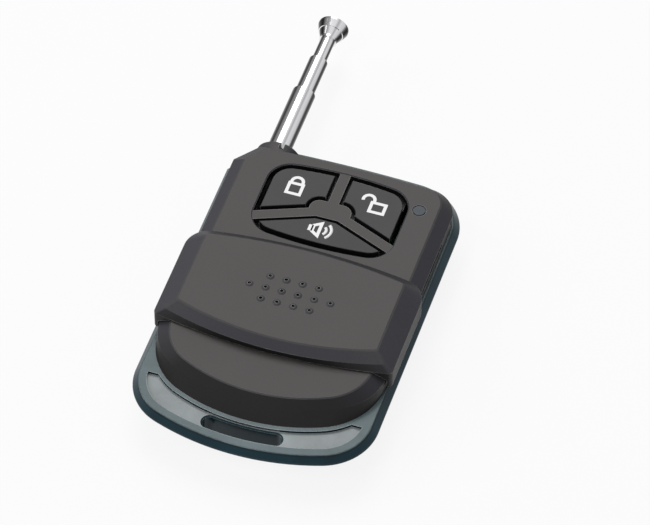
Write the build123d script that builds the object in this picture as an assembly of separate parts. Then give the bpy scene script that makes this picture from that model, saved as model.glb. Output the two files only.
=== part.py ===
from build123d import *
import os
from dataclasses import astuple, dataclass, replace
from math import atan2, cos, degrees, radians, sin, sqrt

# An alarm key fob: a two-shell case with a sliding cover, three keys, a battery, a transmitter
# board and a telescopic antenna. Millimetres. The flat back lies on z = 0, +Y points along the
# antenna, +X to the right as the keys are read, and the origin is at mid length of the case.

# Case, seen from above. Its width follows from what lies side by side in it, from the antenna
# across the board and the battery to the screws, and its length from the keys and the battery.
antenna_inset = 6.7
board_sleeve_gap = 0.64
neck_width = 13.8
cell_board_gap = 0.3
cell_boss_gap = 0.3
screw_inset = 5.3
cell_tail_room = 8.25
head_bow = 250.0
rim_head_corner = 8.8
corner_cut = 4.2
corner_cut_angle = 50.7
rim_tail_bow = 41.0
rim_tail_corner = 9.0

# Rear shell levels and steps
rear_wall = 1.2
belly_round = 0.9
belly_inset = 2.3
belly_tail_inset = 4.9
under_rim_inset = 0.9
under_rim_drop = 1.1
rim_bulge = 1.0
rim_tail_bulge = 0.7
rim_drop = 1.5
rim_band = 0.3
rim_round = 0.4
ledge_round = 0.25
split_level = 7.5

# Front shell
front_height = 3.5
side_chamfer_run = 2.1
side_chamfer_drop = 1.5
head_bevel_run = 2.9
corner_chamfer_run = 2.0
tongue_bevel_run = 3.0
ledge_side_show = 0.3
ledge_head_show = 0.2
ledge_tail_show = 4.9
tongue_bow = 30.0
tongue_corner = 11.0
top_wall = 1.3
side_wall = 1.5
skirt_wall = 0.6
skirt_depth = 1.0
skirt_gap = 0.2
cavity_step = 0.1
ceiling_inset = 0.6
top_head_corner = 3.2
edge_drop = 0.12
edge_run = 0.12

# Key ring slot and the crescent hollow that it stands in
slot_length = 12.7
slot_width = 2.2
slot_setback = 2.9
slot_edge = 0.25
crescent_depth = 0.5
crescent_rim = 1.3
crescent_gap = 0.6
crescent_reach = 9.9

# Key field
field_side_setback = 4.6
field_head_setback = 1.6
field_length = 15.6
field_head_bow = 60.0
field_head_corner = 3.9
field_tail_bow = 70.0
field_tail_corner = 4.0
field_sink = 0.15
field_edge = 0.2
spoke_width = 1.7
spoke_fall = 22.0
hub_setback = 7.8
hub_half_width = 3.4
hub_half_depth = 1.65
key_gap = 0.85
key_spoke_gap = 0.6
key_proud = 0.05
key_travel = 0.3
key_flange_lap = 0.4
key_flange_wall = 0.55
key_flange_gap = 0.25
key_sleeve_gap = 0.1
key_stem_radius = 1.5
key_edge = 0.15

# Places of the side switches ahead of the hub, and of the alert switch ahead of the battery's contact
side_switch_rise = 2.7
switch_contact_gap = 0.15

# Indicator
lens_radius = 0.95
lens_fit = 0.05
lens_ring = 0.12
lens_ring_depth = 0.25
lens_flange_radius = 1.5
lens_flange_wall = 0.4
lens_field_gap = 0.2
lens_setback = 5.1
lamp_length = 2.0
lamp_width = 1.25
lamp_height = 0.8
lamp_gap = 0.4

# Sliding cover
cover_gap = 0.25
cover_wall = 2.05
cover_side_wall = 0.75
cover_chamfer_run = 3.15
cover_chamfer_drop = 2.0
cover_side_depth = 3.1
cover_field_gap = 0.9
cover_head_bevel_run = 2.1
cover_top_length = 17.85
cover_top_head_bow = 85.0
cover_foot_head_bow = 100.0
cover_top_head_corner = 0.6
cover_foot_head_corner = 4.0
cover_lip_run = 1.55
cover_lip_drop = 1.1
cover_top_tail_bow = 49.5
cover_lip_tail_bow = 60.0
cover_foot_tail_bow = 95.0
cover_tail_corner = 0.7
cover_relief_margin = 1.7
cover_relief_depth = 0.75
cover_relief_corner = 1.0
cover_travel = 17.0
cover_foot_cut = 1.3

# Rails: a rib inside each cover wall runs in a groove in the front shell's wall
groove_height = 0.9
groove_depth = 0.9
groove_under_shoulder = 0.1
rail_clearance = 0.1
rail_length = 7.0
rail_setback = 5.95
rail_lap = 0.7
stop_gap = 0.1
side_pit_radius = 0.45
side_pit_depth = 0.8
side_pit_gap = 4.8

# Grip dots on the cover
dot_pitch = 2.617
dot_row_pitch = 2.303
dot_radius = 0.68
dot_height = 0.22
dot_pit_radius = 0.27
dot_pit_depth = 0.45
dot_setback = 8.9
dot_counts = (4, 6, 4)

# Circuit board: a head under the keys, and a neck between the antenna and the battery
board_wall = 1.0
board_level = 4.0
board_side_inset = 4.1
board_head_inset = 8.1
board_tail_inset = 11.6
neck_lap = 1.5
board_boss_gap = 0.3
board_edge_gap = 0.4
part_gap = 0.6
post_radius = 1.2
post_inset = 1.6

# Tact switches
switch_side = 4.5
switch_height = 2.2
switch_plate_wall = 0.25
plunger_radius = 1.2
plunger_clearance = 0.1
plunger_reserve = 0.2
switch_leg_width = 0.6
switch_leg_reach = 0.8
switch_leg_wall = 0.25
switch_leg_spread = 3.0

# Board components
chip_length = 9.9
chip_width = 3.9
chip_height = 1.6
chip_setback = 2.2
chip_stand = 0.15
chip_leg_count = 8
chip_leg_pitch = 1.27
chip_leg_width = 0.42
chip_leg_reach = 1.05
chip_leg_wall = 0.25
resonator_radius = 4.1
resonator_height = 3.0
resonator_rim = 0.5
resonator_rim_wall = 0.4
transistor_length = 2.9
transistor_width = 1.4
transistor_height = 1.1
transistor_leg_width = 0.42
transistor_leg_reach = 0.55
transistor_leg_wall = 0.15
transistor_leg_spread = 0.95
transistor_inset = 3.6
transistor_rise = 1.4
inductor_length = 4.2
inductor_radius = 1.1
inductor_waist = 0.2
inductor_lead_radius = 0.25
inductor_lead_reach = 1.3
resistor_length = 2.0
resistor_width = 1.25
resistor_height = 0.5
column_pitch = 2.2
resistor_rise = 1.3
capacitor_length = 1.6
capacitor_width = 0.8
capacitor_height = 0.8
capacitor_rise = 3.3
pair_pitch = 3.0

# Battery: a twelve volt cell, 8 mm by 28 mm
cell_radius = 4.0
cell_length = 28.0
cell_button_radius = 2.1
cell_button_height = 0.5
cell_crimp = 0.35
cell_floor_gap = 0.2
contact_wall = 0.35
contact_width = 5.6
contact_height = 5.0
contact_bulge = 0.8
contact_bulge_half_width = 2.2
contact_tab_width = 1.6
contact_tab_reach = 3.0
contact_tab_lap = 2.9
contact_gap = 0.05
holder_wall = 0.8
holder_height = 5.0
holder_board_gap = 0.05

# Antenna
antenna_level = 7.0
mouth_setback = 2.1
antenna_fit = 0.1
tube_wall = 0.22
tube_step_gap = 0.14
tube_clearance = 0.05
tube_lip_length = 0.8
tube_end_gap = 0.6
lower_tube_radius = 1.9
sleeve_tail_room = 16.8
lower_tube_shown = 13.75
middle_tube_shown = 7.35
upper_tube_shown = 4.7
bush_head_length = 1.2
bush_stem_length = 1.8
bush_fit = 0.01
cap_neck_radius = 1.45
cap_neck_length = 0.45
cap_step_radius = 1.95
cap_step_length = 1.25
cap_step_width = 0.15
cap_rim_radius = 2.55
cap_flare_length = 1.25
cap_rim_length = 0.3
cap_dome_height = 0.5
cap_seat_gap = 0.35
mouth_boss_radius = 3.85
mouth_boss_shift = 0.7
mouth_boss_length = 2.9
mouth_boss_chamfer = 0.5
mouth_slot_width = 0.75
mouth_slot_offset = 0.9
mouth_slot_length = 1.7
tail_plug_length = 3.2
tail_plug_rim = 0.6
antenna_screw_radius = 0.95
antenna_screw_length = 3.0
antenna_screw_head_radius = 1.8
antenna_screw_head_length = 1.1
antenna_screw_slot_width = 0.5
antenna_screw_slot_depth = 0.5
bracket_wall = 0.5
bracket_foot_length = 2.6
bracket_foot_reach = 2.0
bracket_left_lap = 1.6
bracket_drop = 2.0
bracket_rise = 2.0
saddle_wall = 1.2
saddle_width = 4.4
saddle_head_inset = 11.8
saddle_tail_inset = 9.2

# Case screws
head_screw_rise = 0.8
cell_screw_rise = 8.2
tail_screw_inset = 10.8
case_screw_radius = 0.75
case_screw_head_radius = 1.5
case_screw_head_height = 0.9
case_screw_sink = 0.1
case_screw_length = 7.6
case_screw_slot_width = 0.5
case_screw_slot_depth = 0.45
case_screw_clearance = 0.15
boss_radius = 1.7
boss_sleeve_gap = 0.24
boss_chip_gap = 0.3
boss_drop = 1.2
boss_joint_gap = 0.2

# Every cut runs this far past the surface that it leaves
overrun = 1.0

# Levels
rim_level = split_level - rim_drop
under_rim_level = rim_level - under_rim_drop
face_level = split_level + front_height
shoulder_level = face_level - side_chamfer_drop
ceiling_level = face_level - top_wall
skirt_level = split_level - skirt_depth
seat_level = skirt_level - skirt_gap
board_top = board_level + board_wall
cover_under = face_level + cover_gap
cover_top = cover_under + cover_wall
cover_shoulder = cover_top - cover_chamfer_drop
cover_foot = cover_shoulder - cover_side_depth
cell_level = rear_wall + cell_floor_gap + cell_radius
contact_foot = rear_wall + cell_floor_gap
plunger_depth = key_travel + plunger_reserve
plunger_top = board_top + switch_height + switch_plate_wall + plunger_depth
flange_top = ceiling_level - key_flange_gap

# Antenna radii, each tube a step smaller than the one that it slides in
tube_step = tube_wall + tube_step_gap
sleeve_radius = lower_tube_radius + tube_step
middle_tube_radius = lower_tube_radius - tube_step
upper_tube_radius = middle_tube_radius - tube_step
cap_seat = cap_rim_radius + cap_seat_gap

# Across the case
neck_side = antenna_inset + sleeve_radius + board_sleeve_gap
cell_side = cell_boss_gap + boss_radius + screw_inset
case_width = neck_side + neck_width + cell_board_gap + 2 * cell_radius + cell_side
antenna_place = antenna_inset - case_width / 2
board_left = neck_side - case_width / 2
board_right = case_width / 2 - board_side_inset
neck_right = board_left + neck_width
neck_middle = board_left + neck_width / 2
cell_place = case_width / 2 - cell_side - cell_radius

# Along the case
face_setback = rim_bulge + ledge_head_show + head_bevel_run
contact_stack = contact_gap + contact_wall + contact_gap
cell_head_stack = cell_button_height + contact_stack + holder_wall + holder_board_gap
cell_tail_stack = contact_bulge + contact_stack + holder_wall
keys_length = face_setback + field_head_setback + field_length
cell_setback = keys_length - neck_lap + cell_head_stack
case_length = cell_setback + cell_length + cell_tail_stack + cell_tail_room
case_head = case_length / 2
case_tail = -case_length / 2
field_head = case_head - face_setback - field_head_setback
field_tail = field_head - field_length
neck_head = field_tail + neck_lap
board_head = case_head - board_head_inset
board_tail = case_tail + board_tail_inset
cell_head = case_head - cell_setback
cell_tail = cell_head - cell_length
contact_head = cell_head + cell_button_height + contact_gap + contact_wall
chip_head = neck_head - chip_setback
chip_tail = chip_head - chip_length
hub_place = field_head - hub_setback
cover_head = field_tail - cover_field_gap - cover_head_bevel_run
rail_head = cover_head - rail_setback
groove_head = rail_head + cover_travel + stop_gap

# Along the antenna
antenna_mouth = case_head - mouth_setback
sleeve_tail = case_tail + sleeve_tail_room
sleeve_length = antenna_mouth - sleeve_tail
lower_tube_length = sleeve_length - tail_plug_length - bush_head_length - tube_end_gap
middle_tube_length = lower_tube_length - bush_stem_length - bush_head_length - tube_end_gap
upper_tube_length = middle_tube_length - bush_stem_length - bush_head_length - tube_end_gap
lower_tube_head = antenna_mouth + lower_tube_shown
middle_tube_head = lower_tube_head + middle_tube_shown
upper_tube_head = middle_tube_head + upper_tube_shown

# Case screws, at both ends of the battery's side and of the board's neck
boss_place = antenna_place + sleeve_radius + boss_sleeve_gap + boss_radius
case_screw_places = (
    (case_width / 2 - screw_inset, neck_head + head_screw_rise),
    (case_width / 2 - screw_inset, cell_tail + cell_screw_rise),
    (boss_place, chip_tail - boss_chip_gap - boss_radius),
    (boss_place, case_tail + tail_screw_inset),
)


def moved_cut(depth, side_step, head_step, step):
    """The depth of a corner cut once the side, the head and the cut are each drawn in by a step."""
    turn = radians(corner_cut_angle)
    return depth + step - side_step * sin(turn) - head_step * cos(turn)


@dataclass(frozen=True)
class Outline:
    """A plan shape: two straight sides, bowed ends, and corner arcs that run smoothly into both.

    A cut takes the place of the arc at the head's left corner. Its depth is measured square to it.
    """

    half_width: float
    head: float
    head_bow: float
    head_corner: float
    tail: float
    tail_bow: float
    tail_corner: float
    cut: float = 0

    def inset(self, step):
        """The same shape drawn in by one step all round."""
        return Outline(
            self.half_width - step,
            self.head - step,
            self.head_bow - step,
            self.head_corner - step,
            self.tail + step,
            self.tail_bow - step,
            self.tail_corner - step,
            moved_cut(self.cut, step, step, step) if self.cut else 0,
        )

    def mixed(self, other, share):
        """The shape that lies a share of the way from this one to another."""
        pairs = zip(astuple(self), astuple(other))
        return Outline(*[here + (there - here) * share for here, there in pairs])

    def end(self, side):
        """Bow centre, bow radius, corner radius, corner height and joint angle of one end."""
        reach, bow, corner = (
            (self.head, self.head_bow, self.head_corner)
            if side > 0
            else (self.tail, self.tail_bow, self.tail_corner)
        )
        across = self.half_width - corner
        bow_centre = reach - side * bow
        rise = side * sqrt((bow - corner) ** 2 - across**2)
        return bow_centre, bow, corner, bow_centre + rise, degrees(atan2(rise, across))

    def cut_ends(self):
        """Where the cut meets the left side, and where it meets the head's bow."""
        turn = radians(corner_cut_angle)
        start = self.head - self.cut / cos(turn)
        rise = start - self.head + self.head_bow
        along = rise * sin(turn) - self.half_width * cos(turn)
        reach = sqrt(along**2 - self.half_width**2 - rise**2 + self.head_bow**2) - along
        end = (reach * cos(turn) - self.half_width, start + reach * sin(turn))
        return (-self.half_width, start), end

    def left_corner(self, level):
        """The edge at the head's left corner, and the angle on the bow where it starts."""
        centre, _, corner, side, turn = self.end(1)
        if not self.cut:
            x = corner - self.half_width
            return arc_edge(x, side, level, corner, 180 - turn, 180), 180 - turn
        (x, y), (end_x, end_y) = self.cut_ends()
        start = degrees(atan2(end_y - centre, end_x))
        return Edge.make_line((end_x, end_y, level), (x, y, level)), start

    def wire(self, level):
        """The outline as a closed wire at one level."""
        head_centre, bow, corner, head_side, turn = self.end(1)
        tail_centre, tail_bow, tail_corner, tail_side, tail_turn = self.end(-1)
        x = self.half_width
        tx = x - tail_corner
        left_corner, bow_end = self.left_corner(level)
        edges = [
            Edge.make_line((x, tail_side, level), (x, head_side, level)),
            arc_edge(x - corner, head_side, level, corner, 0, turn),
            arc_edge(0, head_centre, level, bow, turn, bow_end),
            left_corner,
            Edge.make_line(left_corner @ 1, (-x, tail_side, level)),
            arc_edge(-tx, tail_side, level, tail_corner, 180, 180 - tail_turn),
            arc_edge(0, tail_centre, level, tail_bow, 180 - tail_turn, 360 + tail_turn),
            arc_edge(tx, tail_side, level, tail_corner, 360 + tail_turn, 360),
        ]
        return Wire(edges)

    def face(self, level):
        """The outline as a flat face at one level."""
        return Face(self.wire(level))

    def prism(self, low, high):
        """The outline raised from one level to another."""
        return Solid.extrude(self.face(low), Vector(0, 0, high - low))


def arc_edge(x, y, level, radius, start, end):
    """A circular edge about (x, y), from one angle to another in degrees."""
    points = [
        (x + radius * cos(radians(angle)), y + radius * sin(radians(angle)), level)
        for angle in (start, (start + end) / 2, end)
    ]
    return Edge.make_three_point_arc(*points)


def skin(*sections):
    """A solid through (outline, level) sections, with straight lines between them."""
    return Solid.make_loft([outline.wire(level) for outline, level in sections], ruled=True)


def box(x, y, z):
    """A box from its three (low, high) spans."""
    size = (x[1] - x[0], y[1] - y[0], z[1] - z[0])
    middle = ((x[0] + x[1]) / 2, (y[0] + y[1]) / 2, (z[0] + z[1]) / 2)
    return Pos(*middle) * Box(*size)


def post(x, y, radius, low, high):
    """An upright cylinder."""
    return Pos(x, y, (low + high) / 2) * Cylinder(radius, high - low)


def rod(x, z, radius, start, end):
    """A cylinder along Y."""
    return Pos(x, (start + end) / 2, z) * Rot(90, 0, 0) * Cylinder(radius, end - start)


def tube_profile(points, x, z):
    """A solid of revolution about a line along Y, from (radius, y) points."""
    outline = Polyline(*[(radius, y) for radius, y in points], close=True)
    turned = revolve(make_face(outline), axis=Axis.Y)
    return Pos(x, 0, z) * turned


# Plan shapes of the case, from the rim inwards
rim = Outline(
    case_width / 2,
    case_head,
    head_bow,
    rim_head_corner,
    case_tail,
    rim_tail_bow,
    rim_tail_corner,
    corner_cut,
)
ledge = replace(rim.inset(rim_bulge), tail=rim.tail + rim_tail_bulge)
under_rim = rim.inset(under_rim_inset)
belly = replace(rim.inset(belly_inset), tail=rim.tail + belly_tail_inset)
belly_flat = belly.inset(belly_round)

# Plan shapes of the front shell, at its foot, at its shoulder and on top
foot = Outline(
    ledge.half_width - ledge_side_show,
    ledge.head - ledge_head_show,
    head_bow,
    ledge.head_corner - ledge_head_show,
    ledge.tail + ledge_tail_show,
    tongue_bow,
    tongue_corner,
    moved_cut(ledge.cut, ledge_side_show, ledge_head_show, ledge_side_show),
)
front_top = Outline(
    foot.half_width - side_chamfer_run,
    foot.head - head_bevel_run,
    head_bow,
    top_head_corner,
    foot.tail + tongue_bevel_run,
    foot.tail_bow - tongue_bevel_run,
    foot.tail_corner - tongue_bevel_run,
    moved_cut(foot.cut, side_chamfer_run, head_bevel_run, corner_chamfer_run),
)
shoulder_share = (shoulder_level - split_level) / front_height
shoulder = replace(
    foot.mixed(front_top, shoulder_share),
    half_width=foot.half_width,
    cut=moved_cut(foot.cut, 0, head_bevel_run * shoulder_share, 0),
)
edge_share = (side_chamfer_drop - edge_drop) / side_chamfer_drop
top_edge = shoulder.mixed(front_top, edge_share)
ceiling = front_top.inset(ceiling_inset)
skirt_inside = foot.inset(side_wall)
skirt_outside = foot.inset(side_wall - skirt_wall)
cavity_mouth = foot.inset(side_wall - skirt_wall - cavity_step)
cavity_floor = belly.inset(rear_wall)

# Key field, its switches and the indicator
field_half_width = front_top.half_width - field_side_setback
field = Outline(
    field_half_width,
    field_head,
    field_head_bow,
    field_head_corner,
    field_tail,
    field_tail_bow,
    field_tail_corner,
)
side_switch_place = (spoke_width / 2 + field_half_width) / 2
switch_places = {
    "lock": (-side_switch_place, hub_place + side_switch_rise),
    "unlock": (side_switch_place, hub_place + side_switch_rise),
    "alert": (0, contact_head + switch_contact_gap + switch_side / 2),
}
lens_x = field_half_width + lens_field_gap + lens_flange_radius
lens_y = front_top.head - lens_setback

# Places of the small parts on the board
edge_resistor_x = neck_right - board_edge_gap - resistor_length / 2
edge_capacitor_x = neck_right - board_edge_gap - capacitor_length / 2
chip_middle = (chip_head + chip_tail) / 2
pair = (-pair_pitch / 2, pair_pitch / 2)
resistor_places = [(edge_resistor_x, chip_middle + i * column_pitch) for i in (-1, 0, 1)]
resistor_places += [(side_switch_place + shift, neck_head + resistor_rise) for shift in pair]
capacitor_places = [
    (side * side_switch_place + shift, neck_head + capacitor_rise)
    for side in (-1, 1)
    for shift in pair
]
capacitor_places += [(edge_capacitor_x, chip_middle - 2 * column_pitch)]


def spokes(spread):
    """The hub and its three spokes as a flat face, each edge moved out by the spread."""
    reach = field_length + field_half_width
    width = spoke_width + 2 * spread
    bars = [
        Pos(0, hub_place) * Rot(0, 0, angle) * Pos(reach / 2, 0) * Rectangle(reach, width)
        for angle in (90, 180 + spoke_fall, -spoke_fall)
    ]
    hub = SlotOverall(2 * (hub_half_width + spread), 2 * (hub_half_depth + spread))
    return bars[0] + bars[1] + bars[2] + Pos(0, hub_place) * hub


def key_faces(outline, spread):
    """The three key areas that the spokes leave of an outline, by name."""
    areas = (Sketch() + outline.face(0)) - spokes(spread)
    alert, *sides = sorted(areas.faces(), key=lambda face: face.center().Y)
    lock, unlock = sorted(sides, key=lambda face: face.center().X)
    return {"lock": lock, "unlock": unlock, "alert": alert}


def raised(face, low, high):
    """A flat face at level zero, raised between two levels."""
    return Solid.extrude(face.moved(Location((0, 0, low))), Vector(0, 0, high - low))


def rounded(solid, level, radius):
    """The solid with its edges at one level rounded."""
    return fillet(solid.edges().filter_by_position(Axis.Z, level, level), radius)


def rear_outside():
    """The rear shell's outside: flat back, leaning belly, bulging rim and the ledge on top."""
    body = skin(
        (belly_flat, 0),
        (belly, belly_round),
        (under_rim, under_rim_level),
        (rim, rim_level - rim_band / 2),
        (rim, rim_level + rim_band / 2),
        (ledge, split_level),
    )
    for side in (-1, 1):
        body = rounded(body, rim_level + side * rim_band / 2, rim_round)
    return rounded(body, split_level, ledge_round)


def crescent():
    """The hollow in the ledge, between the tongue of the front shell and the ledge's edge."""
    band = (Sketch() + ledge.inset(crescent_rim).face(0)) - foot.inset(-crescent_gap).face(0)
    top = rim.tail + crescent_reach
    keep = Pos(0, (top + rim.tail) / 2) * Rectangle(case_width, top - rim.tail)
    area = (band & keep).face()
    return raised(area, split_level - crescent_depth, split_level + overrun)


def key_ring_slot(spread):
    """The slot in the tail, bent along the ledge's bow, with its outline moved out by the spread."""
    bow_centre = ledge.tail + ledge.tail_bow
    radius = ledge.tail_bow - slot_setback
    half_turn = degrees((slot_length - slot_width) / 2 / radius)
    spine = CenterArc((0, bow_centre), radius, 270 - half_turn, 2 * half_turn)
    return SlotArc(spine, slot_width + 2 * spread).face()


def slot_bevel():
    """The bevel round the slot's upper edge, cut from the crescent's floor."""
    floor = split_level - crescent_depth
    sections = [
        key_ring_slot(spread).outer_wire().moved(Location((0, 0, level)))
        for spread, level in ((0, floor - slot_edge), (2 * slot_edge, floor + slot_edge))
    ]
    return Solid.make_loft(sections, ruled=True)


def case_bosses(low, high):
    """One post for each case screw."""
    return [post(x, y, boss_radius, low, high) for x, y in case_screw_places]


def antenna_saddles():
    """Ribs that carry the antenna sleeve on the rear shell's floor."""
    x = (antenna_place - saddle_width / 2, antenna_place + saddle_width / 2)
    return [
        box(x, (y - saddle_wall / 2, y + saddle_wall / 2), (rear_wall / 2, antenna_level))
        for y in (antenna_mouth - saddle_head_inset, sleeve_tail + saddle_tail_inset)
    ]


def cell_holders():
    """Ribs that stand behind the two battery contacts."""
    x = (cell_place - contact_width / 2, cell_place + contact_width / 2)
    head = cell_head + cell_button_height + contact_stack
    tail = cell_tail - contact_bulge - contact_stack
    z = (rear_wall / 2, rear_wall + holder_height)
    return [box(x, (head, head + holder_wall), z), box(x, (tail - holder_wall, tail), z)]


def board_posts():
    """Posts under the corners of the circuit board."""
    places = (
        (board_left + post_inset, board_head - post_inset),
        (board_right - post_inset, board_head - post_inset),
        (board_left + post_inset, board_tail + board_boss_gap + boss_radius + post_inset),
        (neck_right - post_inset, board_tail + board_boss_gap + boss_radius + post_inset),
    )
    return [post(x, y, post_radius, rear_wall / 2, board_level) for x, y in places]


def rear_shell():
    """The tray that forms the back of the case, with its ledge, slot, posts and screw seats."""
    outside = rear_outside()
    cavity = skin((cavity_floor, rear_wall), (cavity_mouth, seat_level))
    cavity += cavity_mouth.prism(seat_level, split_level + overrun)
    shell = outside - cavity
    boss_top = skirt_level - boss_joint_gap
    inner = case_bosses(rear_wall / 2, boss_top) + antenna_saddles() + cell_holders() + board_posts()
    for piece in inner:
        shell += piece & outside
    shell -= crescent()
    shell -= raised(key_ring_slot(0), -overrun, split_level + overrun)
    shell -= slot_bevel()
    for x, y in case_screw_places:
        hole = case_screw_radius + case_screw_clearance
        shell -= post(x, y, hole, -overrun, boss_top + overrun)
        head = case_screw_head_radius + case_screw_clearance
        shell -= post(x, y, head, -overrun, case_screw_sink + case_screw_head_height)
    return shell - antenna_path() - cap_notch()


def antenna_path():
    """The room that both shells leave for the antenna sleeve and the cap's seat."""
    fit = sleeve_radius + antenna_fit
    path = rod(antenna_place, antenna_level, fit, sleeve_tail - overrun, antenna_mouth + overrun)
    return path + rod(antenna_place, antenna_level, cap_seat, antenna_mouth, rim.head + overrun)


def cap_notch():
    """The straight sides of the cap's seat in the rear shell, open at the ledge."""
    x = (antenna_place - cap_seat, antenna_place + cap_seat)
    return box(x, (antenna_mouth, rim.head + overrun), (antenna_level, split_level + overrun))


def mouth_boss():
    """The half-round boss where the antenna leaves the front shell."""
    start = antenna_mouth - mouth_boss_length
    low = mouth_boss_radius - mouth_boss_chamfer
    profile = [
        (0, start),
        (mouth_boss_radius, start),
        (mouth_boss_radius, antenna_mouth - mouth_boss_chamfer),
        (low, antenna_mouth),
        (0, antenna_mouth),
    ]
    middle = antenna_place + mouth_boss_shift
    x = (middle - mouth_boss_radius, middle + mouth_boss_radius)
    y = (start, antenna_mouth)
    upper_half = box(x, y, (split_level, antenna_level + mouth_boss_radius))
    return tube_profile(profile, middle, antenna_level) & upper_half


def mouth_slot():
    """The narrow cut in the boss through which the sleeve shows."""
    left = antenna_place + mouth_slot_offset
    x = (left, left + mouth_slot_width)
    y = (antenna_mouth - mouth_slot_length, antenna_mouth + overrun)
    return box(x, y, (antenna_level, face_level + overrun))


def front_shell():
    """The front of the case: key openings, indicator hole, rail grooves and antenna mouth."""
    outside = skin(
        (foot, split_level),
        (shoulder, shoulder_level),
        (top_edge, face_level - edge_drop),
        (front_top.inset(edge_run), face_level),
    )
    boss = mouth_boss()
    shell = outside + skirt_outside.prism(skirt_level, split_level) + boss
    cavity = skin((skirt_inside, skirt_level - overrun), (skirt_inside, skirt_level),
                  (ceiling, ceiling_level))
    shell -= cavity
    for piece in case_bosses(skirt_level, ceiling_level + top_wall / 2):
        shell += piece & (outside + skirt_outside.prism(skirt_level, split_level))
    for x, y in case_screw_places:
        shell -= post(x, y, case_screw_radius, skirt_level - overrun, ceiling_level)
    for face in key_faces(field, 0).values():
        shell -= raised(face, ceiling_level - overrun, face_level + overrun)
    wide_field = field.inset(-2 * field_edge)
    shell -= skin((field, face_level - field_sink), (wide_field, face_level + field_sink))
    shell -= rail_grooves()
    shell -= post(lens_x, lens_y, lens_radius + lens_fit, ceiling_level - overrun, face_level + overrun)
    ring = lens_radius + lens_fit + lens_ring
    shell -= post(lens_x, lens_y, ring, face_level - lens_ring_depth, face_level + overrun)
    return shell - antenna_path() - mouth_slot()


def rail_grooves():
    """A groove along each side wall for the cover's ribs, and a small pit ahead of it."""
    top = shoulder_level - groove_under_shoulder
    z = (top - groove_height, top)
    inner = foot.half_width - groove_depth
    tail = rail_head - rail_length - stop_gap
    y = (tail, groove_head)
    middle = (z[0] + z[1]) / 2
    cuts = []
    for side in (-1, 1):
        x = sorted((side * inner, side * (foot.half_width + overrun)))
        cuts.append(box(x, y, z))
        depth = side_pit_depth + overrun
        pit = Cylinder(side_pit_radius, depth)
        place = side * (foot.half_width - side_pit_depth + depth / 2)
        cuts.append(Pos(place, groove_head + side_pit_gap, middle) * Rot(0, 90, 0) * pit)
    return cuts


def cover_channel():
    """The space inside the cover that slides along the front shell."""
    side = foot.half_width + cover_gap
    slope = side_chamfer_drop / side_chamfer_run
    lift = cover_gap * sqrt(1 + slope**2)
    corner = shoulder_level + lift - slope * cover_gap
    top_side = front_top.half_width + (lift - cover_gap) / slope
    low = cover_foot - overrun
    points = [
        (-side, low), (side, low), (side, corner),
        (top_side, cover_under), (-top_side, cover_under), (-side, corner),
    ]
    profile = Plane.XZ * make_face(Polyline(*points, close=True))
    return Pos(0, case_head, 0) * extrude(profile, case_length)


def cover_outlines():
    """The cover's plan shape on top, at the lip and at its shoulder."""
    base_half = foot.half_width + cover_gap + cover_side_wall
    top_tail = cover_head - cover_top_length
    top = Outline(
        base_half - cover_chamfer_run, cover_head, cover_top_head_bow, cover_top_head_corner,
        top_tail, cover_top_tail_bow, cover_tail_corner,
    )
    base = Outline(
        base_half, cover_head + cover_head_bevel_run, cover_foot_head_bow, cover_foot_head_corner,
        top_tail - cover_lip_run, cover_foot_tail_bow, cover_tail_corner,
    )
    lip_share = cover_lip_drop / cover_chamfer_drop
    lip = replace(top.mixed(base, lip_share), tail=base.tail, tail_bow=cover_lip_tail_bow)
    return top, lip, base


def foot_cut(base):
    """The corner that is cut off the tail end of both side walls of the cover."""
    points = [
        (base.tail - overrun, cover_foot - overrun),
        (base.tail + cover_foot_cut + overrun, cover_foot - overrun),
        (base.tail - overrun, cover_foot + cover_foot_cut + overrun),
    ]
    wedge = extrude(Plane.YZ * make_face(Polyline(*points, close=True)), case_width)
    return Pos(-case_width / 2, 0, 0) * wedge


def grip_dots():
    """Places of the grip dots, row by row."""
    rows = len(dot_counts)
    middle = cover_head - dot_setback
    return [
        ((i - (count - 1) / 2) * dot_pitch, middle + (row - (rows - 1) / 2) * dot_row_pitch)
        for row, count in enumerate(dot_counts)
        for i in range(count)
    ]


def slide_cover():
    """The sleeve that slides over the keys, with its ribs and grip dots."""
    top, lip, base = cover_outlines()
    edge_share = edge_drop / cover_lip_drop
    body = skin(
        (base, cover_foot),
        (base, cover_shoulder),
        (lip, cover_top - cover_lip_drop),
        (top.mixed(lip, edge_share), cover_top - edge_drop),
        (top.inset(edge_run), cover_top),
    )
    body -= cover_channel()
    body -= foot_cut(base)
    hollow = replace(
        top.inset(cover_relief_margin),
        head_corner=cover_relief_corner,
        tail_corner=cover_relief_corner,
    )
    body -= hollow.prism(cover_under - overrun, cover_under + cover_relief_depth)
    groove_top = shoulder_level - groove_under_shoulder
    z = (groove_top - groove_height + rail_clearance, groove_top - rail_clearance)
    inner = foot.half_width - rail_lap
    outer = foot.half_width + cover_gap + cover_gap
    for side in (-1, 1):
        x = sorted((side * inner, side * outer))
        body += box(x, (rail_head - rail_length, rail_head), z)
    ball = (dot_radius**2 + dot_height**2) / (2 * dot_height)
    for x, y in grip_dots():
        bump = Pos(x, y, cover_top + dot_height - ball) * Sphere(ball)
        body += bump & post(x, y, dot_radius, cover_top - dot_pit_depth, cover_top + dot_height)
        low = cover_top + dot_height - dot_pit_depth
        body -= post(x, y, dot_pit_radius, low, cover_top + dot_height + overrun)
    return body


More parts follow.
